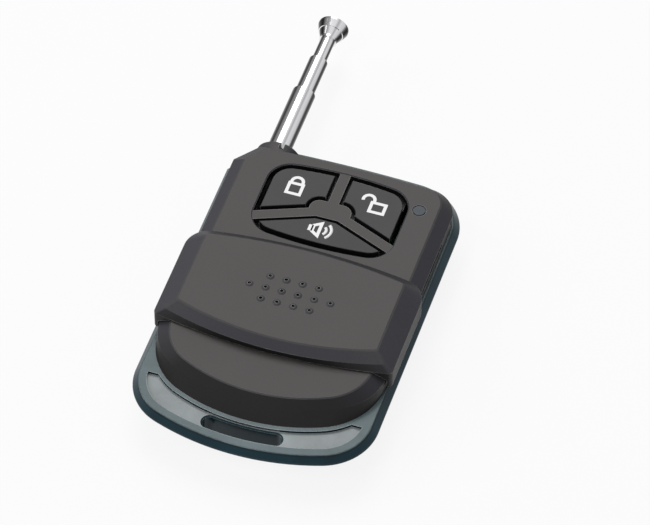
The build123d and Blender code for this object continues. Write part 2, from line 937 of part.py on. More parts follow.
def key_cap(name):
    """One key: its cap, the flange that holds it in the shell, and its stem."""
    top = face_level + key_proud
    cap = raised(key_faces(field.inset(key_gap), key_spoke_gap)[name], flange_top, top)
    cap = rounded(cap, top, key_edge)
    wide = key_faces(field.inset(-key_flange_lap), -key_flange_lap)[name]
    flange = raised(wide, flange_top - key_flange_wall, flange_top)
    side = -antenna_place - sleeve_radius - key_sleeve_gap
    flange &= box((-side, side), (0, field_head + overrun), (0, flange_top))
    x, y = switch_places[name]
    stem = post(x, y, key_stem_radius, plunger_top, flange_top)
    return cap + flange + stem


def switch_base(name):
    """A tact switch's moulded base with its four legs."""
    x, y = switch_places[name]
    half = switch_side / 2
    top = board_top + switch_height
    body = box((x - half, x + half), (y - half, y + half), (board_top, top))
    reach = half + switch_leg_reach
    for side in (-1, 1):
        leg_y = y + side * switch_leg_spread / 2
        span = (leg_y - switch_leg_width / 2, leg_y + switch_leg_width / 2)
        body += box((x - reach, x + reach), span, (board_top, board_top + switch_leg_wall))
    well = plunger_radius + plunger_clearance
    return body - post(x, y, well, top - 2 * plunger_depth, top + overrun)


def switch_plate(name):
    """The sheet plate on top of a tact switch."""
    x, y = switch_places[name]
    half = switch_side / 2
    low = board_top + switch_height
    plate = box((x - half, x + half), (y - half, y + half), (low, low + switch_plate_wall))
    return plate - post(x, y, plunger_radius + plunger_clearance, low - overrun, low + overrun)


def switch_plunger(name):
    """The plunger that a key pushes into its switch."""
    x, y = switch_places[name]
    low = board_top + switch_height - plunger_depth
    return post(x, y, plunger_radius, low, plunger_top)


def circuit_board():
    """The board: a wide head under the keys and a neck beside the battery."""
    z = (board_level, board_top)
    board = box((board_left, board_right), (neck_head, board_head), z)
    board += box((board_left, neck_right), (board_tail, neck_head), z)
    for x, y in case_screw_places:
        board -= post(x, y, boss_radius + board_boss_gap, board_level - overrun, board_top + overrun)
    return board


def encoder_chip():
    """The code chip with a row of legs along each side."""
    x = neck_middle
    low = board_top + chip_stand
    body = box((x - chip_width / 2, x + chip_width / 2), (chip_tail, chip_head), (low, low + chip_height))
    reach = chip_width / 2 + chip_leg_reach
    for i in range(chip_leg_count):
        leg_y = chip_middle + (i - (chip_leg_count - 1) / 2) * chip_leg_pitch
        span = (leg_y - chip_leg_width / 2, leg_y + chip_leg_width / 2)
        body += box((x - reach, x + reach), span, (board_top, board_top + chip_leg_wall))
    return body


def resonator():
    """The round metal can that sets the transmitter's frequency."""
    x = board_left + bracket_foot_reach + board_edge_gap / 2 + resonator_radius
    y = board_tail + board_edge_gap + resonator_radius
    can = post(x, y, resonator_radius - resonator_rim, board_top, board_top + resonator_height)
    return can + post(x, y, resonator_radius, board_top, board_top + resonator_rim_wall)


def transistor():
    """The output transistor with its three legs."""
    x = board_left + transistor_inset
    y = neck_head + transistor_rise
    body = box((x - transistor_width / 2, x + transistor_width / 2),
               (y - transistor_length / 2, y + transistor_length / 2),
               (board_top, board_top + transistor_height))
    reach = transistor_width / 2 + transistor_leg_reach
    z = (board_top, board_top + transistor_leg_wall)
    for shift, span in ((-1, (x - reach, x)), (1, (x - reach, x)), (0, (x, x + reach))):
        leg_y = y + shift * transistor_leg_spread
        body += box(span, (leg_y - transistor_leg_width / 2, leg_y + transistor_leg_width / 2), z)
    return body


def loading_inductor():
    """The moulded inductor with a lead at each end, lying across the board."""
    half = inductor_length / 2
    tip = half + inductor_lead_reach
    x = neck_right - board_edge_gap - tip
    y = chip_tail - part_gap - inductor_radius
    profile = [
        (0, -tip), (inductor_lead_radius, -tip), (inductor_lead_radius, -half),
        (inductor_radius, -half * 2 / 3), (inductor_radius - inductor_waist, -half / 3),
        (inductor_radius - inductor_waist, half / 3), (inductor_radius, half * 2 / 3),
        (inductor_lead_radius, half), (inductor_lead_radius, tip), (0, tip),
    ]
    outline = make_face(Polyline(*profile, close=True))
    return Pos(x, y, board_top + inductor_radius) * Rot(0, 0, 90) * revolve(outline, axis=Axis.Y)


def chips(places, length, width, height):
    """Small flat components at several places, as separate solids."""
    half_x = length / 2
    half_y = width / 2
    return [
        box((x - half_x, x + half_x), (y - half_y, y + half_y), (board_top, board_top + height))
        for x, y in places
    ]


def indicator_lamp():
    """The lamp on the board under the indicator lens."""
    half_x = lamp_length / 2
    half_y = lamp_width / 2
    return box((lens_x - half_x, lens_x + half_x), (lens_y - half_y, lens_y + half_y),
               (board_top, board_top + lamp_height))


def indicator_lens():
    """The clear rod that carries the lamp's light to the face."""
    low = board_top + lamp_height + lamp_gap
    lens = post(lens_x, lens_y, lens_radius, low, face_level)
    top = ceiling_level - lens_fit
    return lens + post(lens_x, lens_y, lens_flange_radius, top - lens_flange_wall, top)


def battery():
    """The cell: crimped can with its button at the head end."""
    tail = cell_tail
    shoulder_y = cell_head - cell_crimp
    profile = [
        (0, tail), (cell_radius - cell_crimp, tail), (cell_radius, tail + cell_crimp),
        (cell_radius, shoulder_y), (cell_radius - cell_crimp, cell_head),
        (cell_button_radius, cell_head), (cell_button_radius, cell_head + cell_button_height),
        (0, cell_head + cell_button_height),
    ]
    return tube_profile(profile, cell_place, cell_level)


def contact_tab(y):
    """The strip of a battery contact that lies on the board."""
    left = neck_right - contact_tab_lap
    x = (left, left + contact_tab_width)
    return box(x, y, (board_top, board_top + contact_wall))


def contact_strip(y):
    """The upright strip of a battery contact, from its board tab to behind the cell."""
    x = (neck_right - contact_tab_lap, cell_place + contact_width / 2)
    return box(x, y, (board_top, contact_foot + contact_height))


def positive_contact():
    """The flat contact that meets the cell's button."""
    y = cell_head + cell_button_height + contact_gap
    plate = contact_strip((y, y + contact_wall))
    x = (cell_place - contact_width / 2, cell_place + contact_width / 2)
    plate += box(x, (y, y + contact_wall), (contact_foot, contact_foot + contact_height))
    return plate + contact_tab((y - contact_tab_reach, y + contact_wall))


def negative_contact():
    """The bent leaf that presses on the cell's flat end."""
    front = cell_tail - contact_gap
    back = front - contact_bulge
    plate = contact_strip((back - contact_wall, back))
    x = (cell_place - contact_width / 2, cell_place + contact_width / 2)
    z = (contact_foot, contact_foot + contact_height)
    plate += box(x, (back - contact_wall, back), z)
    half = contact_bulge_half_width
    thick = contact_wall * sqrt(1 + (contact_bulge / half) ** 2)
    ridge = [
        (cell_place - half, back), (cell_place, front), (cell_place + half, back),
        (cell_place + half - contact_wall, back - contact_wall / 2),
        (cell_place, front - thick), (cell_place - half + contact_wall, back - contact_wall / 2),
    ]
    leaf = Solid.extrude(
        make_face(Polyline(*ridge, close=True)).face().moved(Location((0, 0, contact_foot))),
        Vector(0, 0, contact_height),
    )
    return plate + leaf + contact_tab((back - contact_wall, back + contact_tab_reach))


def telescope_tube(radius, tail, head):
    """A thin tube whose mouth is rolled in so that the next tube can't fall out."""
    bore = radius - tube_wall
    mouth = bore - tube_step_gap + tube_clearance
    profile = [
        (bore, tail), (radius, tail), (radius, head), (mouth, head),
        (mouth, head - tube_lip_length), (bore, head - tube_lip_length),
    ]
    return tube_profile(profile, antenna_place, antenna_level)


def foot_bush(radius, tail):
    """The brass bush pressed into the foot of a tube, which guides it in the next larger one."""
    stem = radius - tube_wall - bush_fit
    head = radius + tube_step_gap - tube_clearance
    profile = [
        (0, tail - bush_head_length), (head, tail - bush_head_length), (head, tail), (stem, tail),
        (stem, tail + bush_stem_length), (0, tail + bush_stem_length),
    ]
    return tube_profile(profile, antenna_place, antenna_level)


def antenna_cap():
    """The flared tip that closes the antenna when it is pushed in."""
    y = upper_tube_head
    step = y + cap_neck_length + cap_step_length
    flare = step + cap_flare_length
    rim_end = flare + cap_rim_length
    ball = (cap_rim_radius**2 + cap_dome_height**2) / (2 * cap_dome_height)
    profile = [
        (0, y), (cap_neck_radius, y), (cap_neck_radius, y + cap_neck_length),
        (cap_step_radius, step), (cap_step_radius + cap_step_width, step),
        (cap_rim_radius, flare), (cap_rim_radius, rim_end), (0, rim_end),
    ]
    flared = tube_profile(profile, antenna_place, antenna_level)
    centre = rim_end + cap_dome_height - ball
    dome = Pos(antenna_place, centre, antenna_level) * Sphere(ball)
    keep = rod(antenna_place, antenna_level, cap_rim_radius, rim_end, rim_end + cap_dome_height)
    return flared + (dome & keep)


def tail_plug():
    """The threaded plug in the tail of the sleeve."""
    bore = sleeve_radius - tube_wall - bush_fit
    profile = [
        (antenna_screw_radius, sleeve_tail - tail_plug_rim),
        (sleeve_radius, sleeve_tail - tail_plug_rim),
        (sleeve_radius, sleeve_tail), (bore, sleeve_tail), (bore, sleeve_tail + tail_plug_length),
        (antenna_screw_radius, sleeve_tail + tail_plug_length),
    ]
    return tube_profile(profile, antenna_place, antenna_level)


def bracket_back():
    """Y of the bracket's plate, which lies behind the tail plug."""
    return sleeve_tail - tail_plug_rim


def antenna_bracket():
    """The angle that is soldered to the board and carries the tail of the antenna."""
    y = bracket_back()
    right = board_left + bracket_foot_reach
    x = (antenna_place - bracket_left_lap, right)
    plate = box(x, (y - bracket_wall, y), (board_top, antenna_level + bracket_rise))
    side = (antenna_place - bracket_left_lap, board_left - board_boss_gap)
    plate += box(side, (y - bracket_wall, y), (antenna_level - bracket_drop, antenna_level))
    foot_y = (y - bracket_wall, y + bracket_foot_length)
    plate += box((board_left, right), foot_y, (board_top, board_top + bracket_wall))
    hole = antenna_screw_radius + case_screw_clearance
    return plate - rod(antenna_place, antenna_level, hole, y - bracket_wall - overrun, y + overrun)


def antenna_screw():
    """The slotted screw that holds the tail plug to the bracket."""
    seat = bracket_back() - bracket_wall
    tip = seat + antenna_screw_length
    shank = rod(antenna_place, antenna_level, antenna_screw_radius, seat, tip)
    back = seat - antenna_screw_head_length
    head = rod(antenna_place, antenna_level, antenna_screw_head_radius, back, seat)
    x = (antenna_place - 2 * antenna_screw_head_radius, antenna_place + 2 * antenna_screw_head_radius)
    half = antenna_screw_slot_width / 2
    slot = box(x, (back - overrun, back + antenna_screw_slot_depth),
               (antenna_level - half, antenna_level + half))
    return shank + head - slot


def case_screws():
    """The screws that close the case, one solid each."""
    screws = []
    for x, y in case_screw_places:
        head_top = case_screw_sink + case_screw_head_height
        screw = post(x, y, case_screw_head_radius, case_screw_sink, head_top)
        screw += post(x, y, case_screw_radius, head_top, head_top + case_screw_length)
        half = case_screw_slot_width / 2
        reach = case_screw_head_radius + overrun
        z = (case_screw_sink - overrun, case_screw_sink + case_screw_slot_depth)
        screw -= box((x - reach, x + reach), (y - half, y + half), z)
        screw -= box((x - half, x + half), (y - reach, y + reach), z)
        screws.append(screw)
    return screws


def pieces():
    """Every node of the fob by name."""
    made = {
        "rear_shell": rear_shell(),
        "front_shell": front_shell(),
        "slide_cover": slide_cover(),
        "circuit_board": circuit_board(),
        "encoder_chip": encoder_chip(),
        "resonator": resonator(),
        "transistor": transistor(),
        "loading_inductor": loading_inductor(),
        "chip_resistors": chips(resistor_places, resistor_length, resistor_width, resistor_height),
        "chip_capacitors": chips(capacitor_places, capacitor_length, capacitor_width, capacitor_height),
        "indicator_lamp": indicator_lamp(),
        "indicator_lens": indicator_lens(),
        "battery": battery(),
        "battery_contact_positive": positive_contact(),
        "battery_contact_negative": negative_contact(),
        "antenna_sleeve": telescope_tube(sleeve_radius, sleeve_tail, antenna_mouth),
        "antenna_tail_plug": tail_plug(),
        "antenna_bracket": antenna_bracket(),
        "antenna_screw": antenna_screw(),
        "antenna_cap": antenna_cap(),
        "case_screws": case_screws(),
    }
    tubes = {
        "lower": (lower_tube_radius, lower_tube_head, lower_tube_length),
        "middle": (middle_tube_radius, middle_tube_head, middle_tube_length),
        "upper": (upper_tube_radius, upper_tube_head, upper_tube_length),
    }
    for name, (radius, head, length) in tubes.items():
        made[f"antenna_tube_{name}"] = telescope_tube(radius, head - length, head)
        made[f"antenna_bush_{name}"] = foot_bush(radius, head - length)
    for name in switch_places:
        made[f"{name}_key"] = key_cap(name)
        made[f"{name}_switch_base"] = switch_base(name)
        made[f"{name}_switch_plate"] = switch_plate(name)
        made[f"{name}_switch_plunger"] = switch_plunger(name)
    return made


def main():
    """Write one STEP file for each node."""
    os.makedirs("parts", exist_ok=True)
    for name, shape in pieces().items():
        solids = shape if isinstance(shape, list) else [shape]
        whole = Compound(children=[solid for part in solids for solid in part.solids()])
        export_step(whole, f"parts/{name}.step")


main()
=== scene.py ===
"""Looks of an alarm key fob with a sliding cover and a telescopic antenna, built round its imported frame."""

import logging
import math
from dataclasses import dataclass, field
from enum import Enum
from typing import Any

import bmesh
import bpy
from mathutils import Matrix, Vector


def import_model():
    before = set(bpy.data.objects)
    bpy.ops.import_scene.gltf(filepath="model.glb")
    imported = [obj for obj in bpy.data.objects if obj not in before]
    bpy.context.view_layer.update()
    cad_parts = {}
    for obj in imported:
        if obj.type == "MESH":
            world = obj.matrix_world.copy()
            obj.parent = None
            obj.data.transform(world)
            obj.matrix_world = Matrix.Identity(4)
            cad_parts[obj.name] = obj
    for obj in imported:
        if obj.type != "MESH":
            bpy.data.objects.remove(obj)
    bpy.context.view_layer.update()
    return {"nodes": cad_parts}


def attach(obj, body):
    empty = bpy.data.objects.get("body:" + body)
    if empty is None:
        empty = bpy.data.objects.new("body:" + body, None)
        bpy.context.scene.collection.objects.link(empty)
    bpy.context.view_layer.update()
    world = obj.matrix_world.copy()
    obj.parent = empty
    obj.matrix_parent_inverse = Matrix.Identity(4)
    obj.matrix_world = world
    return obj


LOG = logging.getLogger("key_fob")
MM = 0.001

# The photograph's width in pixels, by which the focal length in pixels is divided
PHOTO_WIDTH = 650

# Break-up of a surface: two noises mixed, the colour and the roughness led by them
FINE_SHARE = 0.45
FINE_DETAIL = 3.0
FINE_ROUGHNESS = 0.6
BROAD_CELL = 9.0
BROAD_DETAIL = 4.0
BROAD_ROUGHNESS = 0.55
NOISE_LOW = 0.3
NOISE_MIDDLE = 0.5
NOISE_HIGH = 0.7
GLOSS_SPREAD = 0.14
LEAST_ROUGHNESS = 0.02
COAT_ROUGHNESS = 0.06

# How the fine noise is stretched along X, Y and Z, to lines along the tubes and to short marks across
DRAWN_STRETCH = (1.0, 0.02, 1.0)
BRUSHED_STRETCH = (0.06, 1.0, 1.0)
EVEN_STRETCH = (1.0, 1.0, 1.0)

# Painted highlights along the edges, with their reach in millimetres, and the height in millimetres that
# tints by height span
GLINT_REACH = 0.16
EDGE_SAMPLES = 6
EDGE_GAIN = 5.0
HEIGHT_SPAN = 20.0

# Legs of the code chip
CHIP_LEGS = 8
CHIP_LEG_PITCH = 1.27

# At a sharp corner of a printed line, half the stroke is divided by no less than this
LEAST_MITRE = 0.35

# Levels of the studio: light from all round, and the white that the camera, gloss and glass see
AMBIENT_LEVEL = 0.42
WHITE_LEVEL = 1.0

# The floor: its gap under the fob in millimetres, half its side in metres, its colour, and its share of white
FLOOR_GAP = 0.05
FLOOR_HALF = 3.0
FLOOR_ALBEDO = 0.8
FLOOR_GLOW_SHARE = 0.88

Colour = tuple[float, float, float]
Point = tuple[float, float]
Socket = bpy.types.NodeSocket


class Surface(Enum):
    """How the surface of a finish is broken up."""

    SPARKED = "fine spark texture of a moulding tool"
    POLISHED = "polished mould with faint flow marks"
    DRAWN = "lengthwise drawing lines of bright tube"
    BRUSHED = "short even brush marks"
    LACQUER = "solder mask with a trace of copper under it"
    PRINTED = "thick pad printing"


class NodeGraph:
    """The node tree of a material or a world, with short calls for adding and joining nodes."""

    def __init__(self, owner: bpy.types.Material | bpy.types.World) -> None:
        """Empty the owner's tree.

        Args:
            owner: The material or world that the tree belongs to.
        """
        owner.use_nodes = True
        self.owner = owner
        self.tree = owner.node_tree
        self.tree.nodes.clear()

    def add(self, kind: str, **values: Any) -> bpy.types.Node:
        """Add one node and set its attributes and inputs.

        Args:
            kind: The node's type name.
            **values: Attributes of the node, or inputs by name with blanks as underscores.

        Returns:
            The new node.
        """
        node = self.tree.nodes.new(kind)
        for key, value in values.items():
            if hasattr(node, key):
                setattr(node, key, value)
            else:
                node.inputs[key.replace("_", " ")].default_value = value
        return node

    def join(self, source: Socket, target: Socket) -> None:
        """Link two sockets."""
        self.tree.links.new(source, target)

    def maths(self, operation: str, *values: Any) -> Socket:
        """Join numbers and sockets by one sum.

        Args:
            operation: Name of the sum.
            *values: Its terms, each a number or a socket.

        Returns:
            The result's socket.
        """
        node = self.add("ShaderNodeMath", operation=operation)
        for slot, value in zip(node.inputs, values):
            if isinstance(value, Socket):
                self.join(value, slot)
            else:
                slot.default_value = value
        return node.outputs[0]

    def mix(self, share: Any, first: Any, second: Any, blend: str = "MIX") -> Socket:
        """Mix two colours.

        Args:
            share: Weight of the second one, a number or a socket.
            first: First colour or its socket.
            second: Second colour or its socket.
            blend: Kind of mixing.

        Returns:
            The mixed colour's socket.
        """
        node = self.add("ShaderNodeMix", data_type="RGBA", blend_type=blend)
        slots = (node.inputs[0], node.inputs[6], node.inputs[7])
        for slot, value in zip(slots, (share, first, second)):
            if isinstance(value, Socket):
                self.join(value, slot)
            else:
                slot.default_value = value if isinstance(value, float) else (*value, 1.0)
        return node.outputs[2]

    def facing(self, direction: tuple[float, float, float]) -> Socket:
        """How far the surface faces a way, from zero to one.

        Args:
            direction: The way, as a unit vector in the object's own space.

        Returns:
            The share's socket.
        """
        normal = self.add("ShaderNodeTexCoord").outputs["Normal"]
        dot = self.add("ShaderNodeVectorMath", operation="DOT_PRODUCT")
        self.join(normal, dot.inputs[0])
        dot.inputs[1].default_value = direction
        return self.maths("MULTIPLY_ADD", dot.outputs["Value"], 0.5, 0.5)

    def edge(self, reach: float) -> Socket:
        """One along the piece's edges and zero on its faces.

        Args:
            reach: How far the painted edge highlight reaches, in millimetres.

        Returns:
            The mask's socket.
        """
        soft = self.add("ShaderNodeBevel", samples=EDGE_SAMPLES, Radius=reach * MM)
        true = self.add("ShaderNodeNewGeometry")
        dot = self.add("ShaderNodeVectorMath", operation="DOT_PRODUCT")
        self.join(soft.outputs[0], dot.inputs[0])
        self.join(true.outputs["True Normal"], dot.inputs[1])
        return self.maths("MULTIPLY", self.maths("SUBTRACT", 1.0, dot.outputs["Value"]), EDGE_GAIN)

    def ramp(self, source: Socket, stops: list[tuple[float, Colour]]) -> Socket:
        """Turn a value into a colour between stops.

        Args:
            source: The value, from zero to one.
            stops: Places on the ramp and their colours.

        Returns:
            The colour socket.
        """
        ramp = self.add("ShaderNodeValToRGB")
        bar = ramp.color_ramp.elements
        while len(bar) < len(stops):
            bar.new(1.0)
        for element, (place, colour) in zip(bar, stops):
            element.position = place
            element.color = (*colour, 1.0)
        self.join(source, ramp.inputs["Fac"])
        return ramp.outputs["Color"]


@dataclass(frozen=True)
class Finish:
    """One finish: its colour, gloss and the surface break-up that the real one has.

    Attributes:
        name: Name of the material.
        colour: Base colour, linear.
        surface: Kind of break-up.
        roughness: Mean roughness.
        metallic: One for bare metal.
        specular: Strength of the reflection of a non-metal, a half being plain.
        coat: Weight of a clear top layer.
        grain: Size of the texture's cells in millimetres.
        relief: Height of the texture in millimetres.
        mottle: Share by which the colour wanders.
        way: Direction, in the piece's own space, that the painted light below goes by.
        shade_and_tint_by_facing: Painted shade, highlight and reflection as the surface turns from facing off
            that way to facing it, with the tray's own teal in it too.
        heights: How the colour is tinted by height in millimetres, from low to high.
        edge_glint: Share by which the edges are made lighter, a painted highlight.
    """

    name: str
    colour: Colour
    surface: Surface = Surface.SPARKED
    roughness: float = 0.5
    metallic: float = 0.0
    specular: float = 0.5
    coat: float = 0.0
    grain: float = 0.25
    relief: float = 0.01
    mottle: float = 0.06
    way: tuple[float, float, float] = (0.0, 0.0, 1.0)
    shade_and_tint_by_facing: tuple[tuple[float, Colour], ...] = ()
    heights: tuple[tuple[float, Colour], ...] = ()
    edge_glint: float = 0.0

    def tone(self, share: float) -> Colour:
        """The base colour made lighter or darker by a share."""
        return tuple(min(1.0, max(0.0, channel * (1 + share))) for channel in self.colour)

    def scale(self) -> tuple[float, float, float]:
        """How the surface's pattern is stretched.

        Returns:
            Its scale along X, Y and Z.
        """
        if self.surface is Surface.DRAWN:
            return DRAWN_STRETCH
        if self.surface is Surface.BRUSHED:
            return BRUSHED_STRETCH
        return EVEN_STRETCH

    def noise(self, graph: NodeGraph, way: Socket, cell: float, detail: float, roughness: float) -> Socket:
        """Add one noise.

        Args:
            graph: The material's graph.
            way: Coordinates that it reads.
            cell: Size of its cells in millimetres.
            detail: Number of its finer layers.
            roughness: Weight of the finer layers.

        Returns:
            The noise's socket.
        """
        node = graph.add("ShaderNodeTexNoise", Scale=1 / (cell * MM), Detail=detail, Roughness=roughness)
        graph.join(way, node.inputs["Vector"])
        return node.outputs["Fac"]

    def tinted(self, graph: NodeGraph, colour: Socket, place: Socket) -> Socket:
        """Tint the colour by the surface's slope, as painted shade, highlight and reflection, and by its
        height.

        Args:
            graph: The material's graph.
            colour: The colour's socket.
            place: Object coordinates.

        Returns:
            The tinted colour's socket.
        """
        if self.shade_and_tint_by_facing:
            # Painted light: shade, highlight and reflection by which way the surface faces, multiplied into
            # the colour.
            tint = graph.ramp(graph.facing(self.way), list(self.shade_and_tint_by_facing))
            colour = graph.mix(1.0, colour, tint, "MULTIPLY")
        if self.heights:
            apart = graph.add("ShaderNodeSeparateXYZ")
            graph.join(place, apart.inputs[0])
            height = graph.maths("MULTIPLY", apart.outputs["Z"], 1 / (HEIGHT_SPAN * MM))
            stops = [(level / HEIGHT_SPAN, tint) for level, tint in self.heights]
            colour = graph.mix(1.0, colour, graph.ramp(height, stops), "MULTIPLY")
        return colour

    def glinted(self, graph: NodeGraph, colour: Socket, glint_patches: Socket) -> Socket:
        """Lighten the colour along the edges, here and there, as a painted highlight.

        Args:
            graph: The material's graph.
            colour: The colour's socket.
            glint_patches: Noise that says where the painted edge highlight is strongest.

        Returns:
            The lightened colour's socket.
        """
        if not self.edge_glint:
            return colour
        # Painted highlight: the edges' colour lightened where light would catch them.
        share = graph.maths("MULTIPLY", graph.edge(GLINT_REACH), glint_patches)
        glint_colour = tuple(min(1.0, channel + self.edge_glint) for channel in self.colour)
        return graph.mix(graph.maths("MINIMUM", share, 1.0), colour, glint_colour)

    def gloss(self, graph: NodeGraph, blend: Socket) -> Socket:
        """Let the roughness wander with the noise.

        Args:
            graph: The material's graph.
            blend: The mixed noise.

        Returns:
            The roughness's socket.
        """
        rough = graph.add("ShaderNodeMapRange")
        rough.inputs["From Min"].default_value = NOISE_LOW
        rough.inputs["From Max"].default_value = NOISE_HIGH
        rough.inputs["To Min"].default_value = max(LEAST_ROUGHNESS, self.roughness * (1 - GLOSS_SPREAD))
        rough.inputs["To Max"].default_value = min(1.0, self.roughness * (1 + GLOSS_SPREAD))
        graph.join(blend, rough.inputs["Value"])
        return rough.outputs["Result"]

    def build(self) -> bpy.types.Material:
        """Build the material.

        Returns:
            A material that reads nothing outside the piece's own space.
        """
        graph = NodeGraph(bpy.data.materials.new(self.name))
        place = graph.add("ShaderNodeTexCoord").outputs["Object"]
        mapping = graph.add("ShaderNodeMapping")
        mapping.inputs["Scale"].default_value = self.scale()
        graph.join(place, mapping.inputs["Vector"])
        fine = self.noise(graph, mapping.outputs["Vector"], self.grain, FINE_DETAIL, FINE_ROUGHNESS)
        broad = self.noise(graph, place, BROAD_CELL, BROAD_DETAIL, BROAD_ROUGHNESS)
        blend = graph.maths("MULTIPLY_ADD", fine, FINE_SHARE, graph.maths("MULTIPLY", broad, 1 - FINE_SHARE))
        stops = [
            (NOISE_LOW, self.tone(-self.mottle)),
            (NOISE_MIDDLE, self.colour),
            (NOISE_HIGH, self.tone(self.mottle)),
        ]
        colour = self.tinted(graph, graph.ramp(blend, stops), place)
        shader = graph.add("ShaderNodeBsdfPrincipled")
        graph.join(self.glinted(graph, colour, broad), shader.inputs["Base Color"])
        shader.inputs["Metallic"].default_value = self.metallic
        shader.inputs["Specular IOR Level"].default_value = self.specular
        shader.inputs["Coat Weight"].default_value = self.coat
        shader.inputs["Coat Roughness"].default_value = COAT_ROUGHNESS
        graph.join(self.gloss(graph, blend), shader.inputs["Roughness"])
        bump = graph.add("ShaderNodeBump", Strength=1.0, Distance=self.relief * MM)
        graph.join(fine, bump.inputs["Height"])
        graph.join(bump.outputs["Normal"], shader.inputs["Normal"])
        out = graph.add("ShaderNodeOutputMaterial")
        graph.join(shader.outputs[0], out.inputs["Surface"])
        return graph.owner


def grey(level: float) -> Colour:
    """An even grey."""
    return (level, level, level)


# Painted shade of the moulded tops: full on level faces, darker and bluer on bevels as painted shade and
# painted reflection, dark on walls as painted shade
SLOPE_SHADE_FLAT_TO_STEEP = (
    (0.5, grey(0.12)),
    (0.8, grey(0.15)),
    (0.875, (0.24, 0.23, 0.3)),
    (0.915, (0.55, 0.57, 0.75)),
    (0.985, grey(1.0)),
)

# Tints of the tray: walls in the plastic's own deep teal, darkened further as painted shade; a greyer level
# ledge, kept pale as a painted sheen; and by height a paler floor in its hollow
TEAL_AND_SHEEN_LEDGE_TO_WALL = ((0.5, (0.02, 0.1, 0.15)), (0.86, (0.035, 0.125, 0.17)), (0.97, grey(1.0)))
HOLLOW_TO_LEDGE = ((7.15, grey(1.0)), (7.3, (0.37, 0.47, 0.5)))

# Painted reflection on the bright tubes, from one side over to the other: dark along both and a thin bright
# line down the middle
TUBE_WAY = (0.9675, 0.0, -0.2529)
TUBE_REFLECTION_BANDS = (
    (0.0, grey(0.01)),
    (0.12, grey(0.01)),
    (0.19, grey(0.28)),
    (0.26, grey(0.36)),
    (0.4, grey(1.0)),
    (0.52, grey(1.0)),
    (0.6, grey(0.55)),
    (0.68, grey(0.95)),
    (0.8, grey(0.8)),
    (0.85, grey(0.15)),
    (0.9, grey(0.01)),
)

CASE = Finish(
    "case_grey", (0.055, 0.0515, 0.05), roughness=0.5, specular=0.26, grain=0.35, relief=0.022, mottle=0.2,
    shade_and_tint_by_facing=SLOPE_SHADE_FLAT_TO_STEEP, edge_glint=0.34,
)
KEYS = Finish(
    "key_grey", (0.036, 0.0345, 0.0365), roughness=0.5, specular=0.27, grain=0.3, relief=0.012, mottle=0.14,
    shade_and_tint_by_facing=SLOPE_SHADE_FLAT_TO_STEEP, edge_glint=0.34,
)
BASE = Finish(
    "base_teal", (0.255, 0.285, 0.29), Surface.POLISHED, 0.2, specular=0.17, grain=3.0, relief=0.01,
    mottle=0.2, shade_and_tint_by_facing=TEAL_AND_SHEEN_LEDGE_TO_WALL, heights=HOLLOW_TO_LEDGE, edge_glint=0.45,
)
LENS = Finish(
    "lens_blue", (0.022, 0.034, 0.048), Surface.POLISHED, 0.4, specular=0.3, grain=1.0, relief=0.004
)
CHROME = Finish(
    "antenna_chrome", (0.86, 0.86, 0.88), Surface.DRAWN, 0.12, 1.0, grain=0.5, relief=0.002, mottle=0.03,
    way=TUBE_WAY, shade_and_tint_by_facing=TUBE_REFLECTION_BANDS,
)
BLACKED = Finish("blacked_steel", (0.03, 0.03, 0.032), Surface.DRAWN, 0.45, 1.0, grain=0.3, relief=0.003)
BRASS = Finish("bush_brass", (0.72, 0.5, 0.2), Surface.BRUSHED, 0.25, 1.0, grain=0.2, relief=0.003)
STEEL = Finish("zinc_steel", (0.55, 0.55, 0.56), Surface.BRUSHED, 0.3, 1.0, grain=0.2, relief=0.004)
TIN = Finish("tinned_spring", (0.68, 0.67, 0.63), Surface.BRUSHED, 0.28, 1.0, grain=0.25, relief=0.003)
BOARD = Finish(
    "board_green", (0.02, 0.16, 0.055), Surface.LACQUER, 0.3, coat=0.4, grain=1.4, relief=0.012, mottle=0.25
)
MOULD = Finish("component_black", (0.022, 0.022, 0.024), roughness=0.45, grain=0.2, relief=0.006)
CERAMIC = Finish("ceramic_tan", (0.42, 0.3, 0.18), roughness=0.4, grain=0.2, relief=0.004, mottle=0.12)
INDUCTOR = Finish("inductor_green", (0.1, 0.28, 0.1), Surface.POLISHED, 0.3, coat=0.5, grain=0.5, relief=0.01)
LAMP = Finish("lamp_clear", (0.78, 0.78, 0.7), Surface.POLISHED, 0.2, coat=0.6, grain=0.6, relief=0.004)
JACKET = Finish(
    "cell_jacket", (0.5, 0.52, 0.55), Surface.POLISHED, 0.25, 0.6, coat=0.5, grain=1.5, relief=0.006
)
PRINT = Finish("white_print", grey(0.86), Surface.PRINTED, 0.45, grain=0.15, relief=0.008, mottle=0.02)
SOLDER = Finish("solder", (0.75, 0.75, 0.76), Surface.POLISHED, 0.22, 1.0, grain=0.3, relief=0.01)

NODE_FINISHES: dict[str, Finish] = {
    "front_shell": CASE,
    "slide_cover": CASE,
    "rear_shell": BASE,
    "lock_key": KEYS,
    "unlock_key": KEYS,
    "alert_key": KEYS,
    "indicator_lens": LENS,
    "indicator_lamp": LAMP,
    "circuit_board": BOARD,
    "encoder_chip": MOULD,
    "transistor": MOULD,
    "chip_resistors": MOULD,
    "chip_capacitors": CERAMIC,
    "resonator": TIN,
    "loading_inductor": INDUCTOR,
    "battery": JACKET,
    "battery_contact_positive": TIN,
    "battery_contact_negative": TIN,
    "antenna_bracket": TIN,
    "antenna_sleeve": BLACKED,
    "antenna_tube_lower": CHROME,
    "antenna_tube_middle": CHROME,
    "antenna_tube_upper": CHROME,
    "antenna_cap": CHROME,
    "antenna_bush_lower": BRASS,
    "antenna_bush_middle": BRASS,
    "antenna_bush_upper": BRASS,
    "antenna_tail_plug": BRASS,
    "antenna_screw": STEEL,
    "case_screws": STEEL,
}


